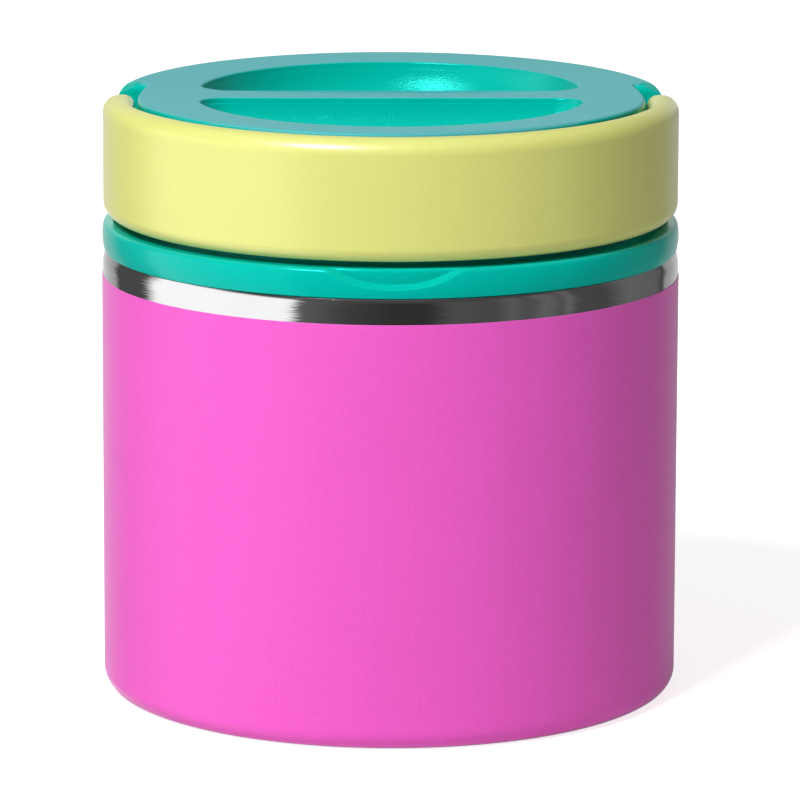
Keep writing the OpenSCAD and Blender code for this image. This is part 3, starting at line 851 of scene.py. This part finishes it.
def brushed_group():
    """Lines brushed round the jar: a height and a mask that run along the turn and change across it."""
    group, inside, out = new_group(
        "brushed round", [("Line", "NodeSocketFloat", 0.08), ("Length", "NodeSocketFloat", 12.0)],
        [("Height", "NodeSocketFloat"), ("Mask", "NodeSocketFloat")])
    axes = object_axes(group)
    along = calc(group, "DIVIDE", 1 / MM, inside.outputs["Length"])
    across = calc(group, "DIVIDE", 1 / MM, inside.outputs["Line"])
    x = calc(group, "MULTIPLY", axes[0], along)
    y = calc(group, "MULTIPLY", axes[1], along)
    z = calc(group, "MULTIPLY", axes[2], across)
    lines = add(group, "ShaderNodeCombineXYZ", {0: x, 1: y, 2: z})
    noise = add(group, "ShaderNodeTexNoise", {"Vector": lines.outputs[0], "Scale": 1.0, "Detail": 3.0,
                                              "Roughness": 0.65})
    mask = spread(group, noise.outputs[0], 0.0, 1.0, start=0.35, end=0.65)
    group.links.new(noise.outputs[0], out.inputs["Height"])
    group.links.new(mask, out.inputs["Mask"])
    return group


COAT_TINT = colour(240, 88, 201)
HANDLE_TINT = colour(222, 225, 125)
LID_GLOSS_TINT = colour(0, 184, 168)
# The matte top's teal, paler for its texture, with its red raised as painted sheen: the white grazing shine
# that the teal specular tint leaves out
LID_MATTE_AND_SHEEN_TINT = colour(86, 178, 182)
LINER_TINT = colour(0, 176, 160)
SILICONE_TINT = colour(214, 218, 214)
GLASS_TINT = colour(62, 70, 64)
FOAM_TINT = colour(238, 231, 208)
SHELL_STEEL_TINT = (0.62, 0.62, 0.63, 1)
CUP_STEEL_TINT = (0.66, 0.65, 0.64, 1)
BASE_STEEL_TINT = (0.6, 0.6, 0.6, 1)
HOLDER_STEEL_TINT = (0.55, 0.55, 0.56, 1)
COPPER_TINT = (0.78, 0.34, 0.2, 1)
GETTER_TINT = (0.22, 0.22, 0.24, 1)
GRAIN = grain_group()
TONE = tone_group()
BRUSHED = brushed_group()


def new_finish(name, **sockets):
    """A material whose Principled shader has the given plain socket values."""
    material = bpy.data.materials.new(name)
    material.use_nodes = True
    tree = material.node_tree
    shader = tree.nodes["Principled BSDF"]
    for key, value in sockets.items():
        shader.inputs[key.replace("_", " ")].default_value = value
    return material, tree, shader


def use_group(tree, group, links=()):
    return add(tree, "ShaderNodeGroup", links, node_tree=group)


def toned(tree, shader, tint, size=30.0, amount=0.03):
    """A colour that drifts in brightness by amount, over patches of size millimetres."""
    tone = use_group(tree, TONE, {"Color": tint, "Size": size, "Amount": amount})
    tree.links.new(tone.outputs[0], shader.inputs["Base Color"])


def speckled(tree, shader, tint, drift_size, drift_amount, fleck_size, fleck_amount):
    """A colour with a slow drift and a fine speckle on it."""
    drift = use_group(tree, TONE, {"Color": tint, "Size": drift_size, "Amount": drift_amount})
    flecks = use_group(tree, TONE, {"Color": drift.outputs[0], "Size": fleck_size, "Amount": fleck_amount})
    tree.links.new(flecks.outputs[0], shader.inputs["Base Color"])


def grained(tree, shader, size, depth, low, high, detail=2.0):
    """Fine bumps of the given size and depth in millimetres, with roughness from low to high on them."""
    grain = use_group(tree, GRAIN, {"Size": size, "Detail": detail})
    bump = add(tree, "ShaderNodeBump", {"Height": grain.outputs["Height"], "Distance": depth * MM,
                                        "Strength": 1.0})
    rough = spread(tree, grain.outputs["Mask"], low, high)
    tree.links.new(bump.outputs[0], shader.inputs["Normal"])
    tree.links.new(rough, shader.inputs["Roughness"])


def powder_coat_pink():
    """Baked pink powder: a fine orange-peel bump with flecks, and a faint bloom at grazing angles."""
    material, tree, shader = new_finish("pink powder coat", Specular_IOR_Level=0.5, Sheen_Weight=0.5,
                                        Sheen_Roughness=0.3)
    speckled(tree, shader, COAT_TINT, drift_size=24.0, drift_amount=0.015, fleck_size=0.4,
             fleck_amount=0.045)
    grained(tree, shader, size=0.32, depth=0.04, low=0.42, high=0.55, detail=3.0)
    return material


def notch_mask(tree):
    """1 between each notch and the slanted line beside it, where the lid is glossy all over."""
    soft = 0.2 * MM
    front_y = NOTCH_Y - 0.05 * MM
    folded = vector_calc(tree, "ABSOLUTE", object_place(tree))
    side = add(tree, "ShaderNodeSeparateXYZ", {0: folded})
    axes = object_axes(tree)
    outward = calc(tree, "MULTIPLY", side.outputs[0], NOTCH_FALL.x)
    back = calc(tree, "MULTIPLY_ADD", axes[1], NOTCH_FALL.y, outward)
    line = NOTCH_CORNER.dot(NOTCH_FALL)
    past = spread(tree, back, 0.0, 1.0, start=line, end=line + soft)
    behind = calc(tree, "GREATER_THAN", axes[1], front_y)
    return calc(tree, "MULTIPLY", past, behind)


def pocket_mask(tree):
    """1 inside the finger pockets' round wall, where the mould is a little rougher."""
    across = vector_calc(tree, "MULTIPLY", object_place(tree), (1, 1, 0))
    away = add(tree, "ShaderNodeVectorMath", {0: across}, operation="LENGTH")
    near = calc(tree, "LESS_THAN", away.outputs["Value"], POCKET_R + POCKET_Y)
    low = calc(tree, "LESS_THAN", object_axes(tree)[2], BAR_Z)
    return calc(tree, "MULTIPLY", near, low)


def lid_plastic():
    """Moulded teal plastic: glossy sides, rougher pockets, and a fine matte texture on the top face, whose
    paler tint holds painted sheen.
    """
    # The tint keeps the shine teal, as it is on plastic with a deep colour
    material, tree, shader = new_finish("teal lid plastic", Specular_IOR_Level=0.5,
                                        Specular_Tint=(0.06, 1.0, 0.95, 1.0))
    marks = add(tree, "ShaderNodeAttribute", attribute_name="matte", attribute_type="GEOMETRY")
    keep = calc(tree, "SUBTRACT", 1.0, notch_mask(tree))
    matte = calc(tree, "MULTIPLY", marks.outputs["Fac"], keep)
    # The matte tint's raised red is painted sheen, in place of the white grazing shine that the teal specular
    # tint takes out
    tint = add(tree, "ShaderNodeMix", {0: matte, 6: LID_GLOSS_TINT, 7: LID_MATTE_AND_SHEEN_TINT}, data_type="RGBA")
    toned(tree, shader, tint.outputs[2], size=20.0, amount=0.02)
    pocket = pocket_mask(tree)
    size = spread(tree, pocket, 0.22, 0.4)
    grain = use_group(tree, GRAIN, {"Size": size, "Detail": 3.0})
    rough = spread(tree, matte, 0.2, 0.5)
    wall_strength = spread(tree, pocket, 0.05, 1.0)
    strength = spread(tree, matte, wall_strength, 0.5)
    bump = add(tree, "ShaderNodeBump", {"Height": grain.outputs["Height"], "Distance": 0.06 * MM,
                                        "Strength": strength})
    tree.links.new(bump.outputs[0], shader.inputs["Normal"])
    tree.links.new(rough, shader.inputs["Roughness"])
    return material


def handle_plastic():
    """Smooth lime plastic with a satin shine."""
    material, tree, shader = new_finish("lime handle plastic", Specular_IOR_Level=0.8, Sheen_Weight=0.4,
                                        Sheen_Roughness=0.3)
    speckled(tree, shader, HANDLE_TINT, drift_size=26.0, drift_amount=0.012, fleck_size=0.4,
             fleck_amount=0.02)
    grained(tree, shader, size=0.32, depth=0.012, low=0.3, high=0.38, detail=3.0)
    return material


def brushed_steel(name, tint, low, high, line=0.09, length=6.0, tilt=0.026):
    """Steel brushed round the jar: each line turns what it reflects a little to the left or right."""
    material, tree, shader = new_finish(name, Metallic=1.0)
    brush = use_group(tree, BRUSHED, {"Line": line, "Length": length})
    toned(tree, shader, tint, size=16.0, amount=0.03)
    straight = add(tree, "ShaderNodeNewGeometry").outputs["Normal"]
    along = vector_calc(tree, "CROSS_PRODUCT", (0, 0, 1), straight)
    amount = spread(tree, brush.outputs["Mask"], -tilt, tilt)
    side = add(tree, "ShaderNodeVectorMath", {0: along, "Scale": amount}, operation="SCALE")
    turned = vector_calc(tree, "ADD", straight, side.outputs[0])
    normal = vector_calc(tree, "NORMALIZE", turned)
    rough = spread(tree, brush.outputs["Mask"], low, high)
    tree.links.new(normal, shader.inputs["Normal"])
    tree.links.new(rough, shader.inputs["Roughness"])
    return material


def plain_finish(name, tint, low, high, size=0.5, depth=0.01, **sockets):
    """One colour with a slight drift, fine grain, and roughness from low to high."""
    material, tree, shader = new_finish(name, **sockets)
    toned(tree, shader, tint)
    grained(tree, shader, size, depth, low, high)
    return material


def dress(piece, material, body, node):
    """Smooths a piece, gives it its finish and its body, and hides the CAD node that it stands for."""
    smooth(piece)
    piece.data.materials.clear()
    piece.data.materials.append(material)
    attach(piece, body)
    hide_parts(node)


def repaint(node, material):
    """Gives a kept CAD node a finish of its own."""
    for material_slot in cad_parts[node].material_slots:
        material_slot.material = material


def mark_matte(lid):
    """Writes the attribute that tells the textured top, with part of its edges, from the glossy walls; where
    it is 1 the lid takes the matte tint with its painted sheen.
    """
    pocket_edge = 0.06 * MM
    rear_edge = 0.35 * MM
    cheek_edge = 0.15 * MM
    front_more = 0.35 * MM
    front_y = -30 * MM
    front_reach = 10 * MM
    marks = lid.data.attributes.new("matte", "FLOAT", "POINT")
    for vertex in lid.data.vertices:
        r = min(radius(vertex.co), DRUM_R)
        top = TOP_Z - DISH_H * (1 - (r / DRUM_R) ** 2)
        if r < POCKET_R + 2 * POCKET_Y:
            edge = pocket_edge
        elif vertex.co.y > NOTCH_Y:
            edge = rear_edge
        else:
            edge = cheek_edge + front_more * clamp((front_y - vertex.co.y) / front_reach)
        marks.data[vertex.index].value = 1.0 if vertex.co.z > top - edge else 0.0


# ---------------------------------------------------------------------------------------------------
# Studio: camera, floor, world and lamps
# ---------------------------------------------------------------------------------------------------
CAMERA_LENS = 277.8                # long lens, in millimetres of its own
CAMERA_SHIFT = 0.0125
CAMERA_AZIMUTH = -0.8              # degrees
CAMERA_DOWN = 11.71                # degrees below level
CAMERA_ROLL = 0.00315              # radians
CAMERA_PLACE = (0, -1.0962, 0.27934)
FLOOR_R = 6.0                      # metres
CARDS = [(-180, 0.95), (-152, 0.55), (-142.3, 0.42), (-141.3, 0.09), (-115, 0.09), (-108, 1.5), (-41, 1.5),
         (-38, 0.16), (-18, 0.07), (0, 0.042), (14, 0.042), (24, 0.11), (42, 0.09), (48, 0.16), (56, 0.1),
         (64, 0.18), (70, 0.1), (75, 0.2), (78, 0.09), (94, 0.08), (108, 0.18), (132, 0.15), (138.2, 0.05),
         (139.2, 0.05), (140.5, 0.35), (180, 0.8)]     # degrees from the front to the right, and brightness


def make_camera():
    """A long lens that looks down on the jar's front, from a hair to the left."""
    data = bpy.data.cameras.new("camera")
    data.lens = CAMERA_LENS
    data.shift_x = CAMERA_SHIFT
    camera = bpy.data.objects.new("camera", data)
    bpy.context.scene.collection.objects.link(camera)
    turn = Matrix.Rotation(math.radians(CAMERA_AZIMUTH), 4, "Z")
    place = turn @ Matrix.Translation(CAMERA_PLACE)
    tilt = Matrix.Rotation(math.radians(90 - CAMERA_DOWN), 4, "X") @ Matrix.Rotation(CAMERA_ROLL, 4, "Z")
    camera.matrix_world = place @ tilt
    bpy.context.scene.camera = camera


def seen_directly(tree):
    """1 for what the camera sees, also through glass."""
    path = add(tree, "ShaderNodeLightPath")
    return calc(tree, "MAXIMUM", path.outputs["Is Camera Ray"], path.outputs["Is Transmission Ray"])


def make_floor():
    """A pale floor that glows a little to the camera, so that it is white outside the jar's shadow."""
    bpy.ops.object.select_all(action="DESELECT")
    bpy.ops.mesh.primitive_circle_add(vertices=96, radius=FLOOR_R, fill_type="NGON")
    floor = bpy.context.object
    floor.name = "floor"
    material = bpy.data.materials.new("pale floor")
    material.use_nodes = True
    tree = material.node_tree
    tree.nodes.clear()
    matt = add(tree, "ShaderNodeBsdfDiffuse", {"Color": (0.8, 0.8, 0.8, 1)})
    glow = add(tree, "ShaderNodeEmission", {"Color": (1, 1, 1, 1), "Strength": 0.75})
    both = add(tree, "ShaderNodeAddShader", {0: matt.outputs[0], 1: glow.outputs[0]})
    mix = add(tree, "ShaderNodeMixShader", {0: seen_directly(tree), 1: matt.outputs[0], 2: both.outputs[0]})
    add(tree, "ShaderNodeOutputMaterial", {"Surface": mix.outputs[0]})
    floor.data.materials.append(material)
    floor.visible_glossy = False


def card_colours(tree, axes):
    """What shines: upright cards all round, and a ceiling over them."""
    back = calc(tree, "MULTIPLY", axes[1], -1.0)
    azimuth = calc(tree, "ARCTAN2", axes[0], back)
    share = spread(tree, azimuth, 0.0, 1.0, start=-math.pi, end=math.pi)
    cards = add(tree, "ShaderNodeValToRGB", {"Fac": share})
    ramp = cards.color_ramp
    while len(ramp.elements) < len(CARDS):
        ramp.elements.new(0.5)
    for element, (degrees, level) in zip(ramp.elements, CARDS):
        element.position = (degrees + 180) / 360
        element.color = (level, level, level, 1)
    above = spread(tree, axes[2], 0.0, 1.0, start=0.42, end=0.5)
    ceiling = spread(tree, axes[2], 0.08, 0.6, start=0.6, end=0.75)
    return add(tree, "ShaderNodeMix", {0: above, 6: cards.outputs[0], 7: ceiling}, data_type="RGBA")


def make_world():
    """White to the camera, soft light on surfaces, and light and dark cards for what shines."""
    world = bpy.data.worlds.new("studio")
    bpy.context.scene.world = world
    world.use_nodes = True
    tree = world.node_tree
    tree.nodes.clear()
    place = add(tree, "ShaderNodeTexCoord")
    axes = add(tree, "ShaderNodeSeparateXYZ", {0: place.outputs["Generated"]}).outputs
    shine = card_colours(tree, axes)
    soft = spread(tree, axes[0], 0.235, 0.225, start=-1.0, end=1.0)
    path = add(tree, "ShaderNodeLightPath")
    lit = add(tree, "ShaderNodeBackground", {"Color": soft, "Strength": 1.0})
    shining = add(tree, "ShaderNodeBackground", {"Color": shine.outputs[2], "Strength": 1.0})
    white = add(tree, "ShaderNodeBackground", {"Color": (1, 1, 1, 1), "Strength": 1.0})
    glossy = add(tree, "ShaderNodeMixShader", {0: path.outputs["Is Glossy Ray"], 1: lit.outputs[0],
                                               2: shining.outputs[0]})
    mix = add(tree, "ShaderNodeMixShader", {0: seen_directly(tree), 1: glossy.outputs[0],
                                            2: white.outputs[0]})
    add(tree, "ShaderNodeOutputWorld", {"Surface": mix.outputs[0]})


def make_lamp(name, azimuth, elevation, distance, size, power):
    """A lamp at an angle from the front of the jar, turned to its middle; size is its width and height."""
    data = bpy.data.lights.new(name, "AREA")
    data.shape = "RECTANGLE"
    data.size, data.size_y = size
    data.energy = power
    lamp = bpy.data.objects.new(name, data)
    bpy.context.scene.collection.objects.link(lamp)
    a = math.radians(azimuth)
    e = math.radians(elevation)
    toward = Vector((math.sin(a) * math.cos(e), -math.cos(a) * math.cos(e), math.sin(e)))
    middle = Vector((0, 0, TOP_Z / 2))
    lamp.location = middle + toward * distance
    lamp.rotation_euler = toward.to_track_quat("Z", "Y").to_euler()


make_camera()
make_floor()
make_world()
make_lamp("key", azimuth=-35, elevation=48, distance=1.6, size=(0.5, 0.4), power=24)

dress(make_steel_wall(), brushed_steel("brushed shell steel", SHELL_STEEL_TINT, 0.05, 0.11),
      "jar", "outer_shell")
dress(make_coat(), powder_coat_pink(), "jar", "powder_coat")
dress(make_food_cup(), brushed_steel("satin cup steel", CUP_STEEL_TINT, 0.25, 0.4),
      "jar", "inner_cup")
dress(make_base_plate(), brushed_steel("base steel", BASE_STEEL_TINT, 0.25, 0.35),
      "jar", "base_cover")
dress(make_gasket(), plain_finish("clear grey silicone", SILICONE_TINT, 0.45, 0.6),
      "seal", "gasket")
dress(make_liner(), plain_finish("teal liner plastic", LINER_TINT, 0.3, 0.4),
      "lid", "lid_liner")
lid = make_lid()
mark_matte(lid)
dress(lid, lid_plastic(), "lid", "lid_shell")
dress(make_handle(), handle_plastic(), "carry_handle", "handle")

repaint("radiation_foil", plain_finish("copper foil", COPPER_TINT, 0.2, 0.35, size=1.5, depth=0.03,
                                       Metallic=1.0))
repaint("shell_bottom", brushed_steel("bottom steel", BASE_STEEL_TINT, 0.25, 0.35))
repaint("seal_glass", plain_finish("solder glass", GLASS_TINT, 0.08, 0.16))
repaint("getter_holder", brushed_steel("holder steel", HOLDER_STEEL_TINT, 0.3, 0.4))
repaint("getter_pill", plain_finish("getter metal", GETTER_TINT, 0.5, 0.7, size=0.2, depth=0.03,
                                    Metallic=0.8))
repaint("insulation_puck", plain_finish("cream foam", FOAM_TINT, 0.8, 0.95, size=0.6, depth=0.12))

bpy.context.scene.view_settings.view_transform = "Standard"
